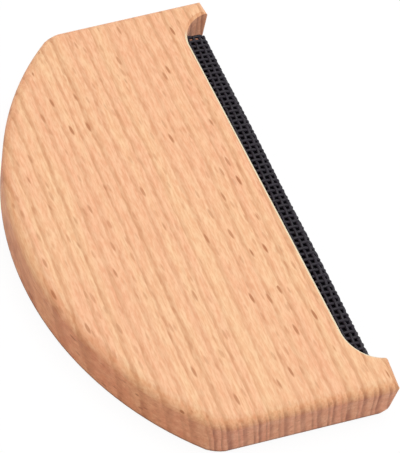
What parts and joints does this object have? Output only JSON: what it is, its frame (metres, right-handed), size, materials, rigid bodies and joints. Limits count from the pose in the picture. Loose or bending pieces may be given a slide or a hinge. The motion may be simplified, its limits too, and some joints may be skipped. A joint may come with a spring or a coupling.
{
  "type": "sweater comb",
  "caption": "D-shaped beech hand comb for pilled knitwear, with a folded strip of black wire cloth between two short horns.",
  "frame": {"origin": "centre of the bounding box at the flat rear face, on the surface that the comb lies on", "axes": "+X along the mesh edge, -Y out of the mesh edge and +Y towards the back arc, +Z out of the front face"},
  "size_m": [0.1048, 0.0608, 0.011],
  "materials": {
    "beech": "sanded smooth, thin clear oil, satin",
    "core_plastic": "matt black extruded strip",
    "glue": "cured wood glue, hidden in the slot",
    "hoop_wire": "black satin coating over steel wire",
    "long_wire": "black satin coating over steel wire"
  },
  "bodies": {
    "root": {"handle": "beech", "core_strip": "core_plastic", "glue_bed": "glue", "hoop_wires": "hoop_wire", "nose_wire": "long_wire", "front_wire_1": "long_wire", "front_wire_2": "long_wire", "front_wire_3": "long_wire", "front_wire_4": "long_wire", "front_wire_5": "long_wire", "front_wire_6": "long_wire", "front_wire_7": "long_wire", "rear_wire_1": "long_wire", "rear_wire_2": "long_wire", "rear_wire_3": "long_wire", "rear_wire_4": "long_wire", "rear_wire_5": "long_wire", "rear_wire_6": "long_wire", "rear_wire_7": "long_wire"}
  },
  "joints": []
}
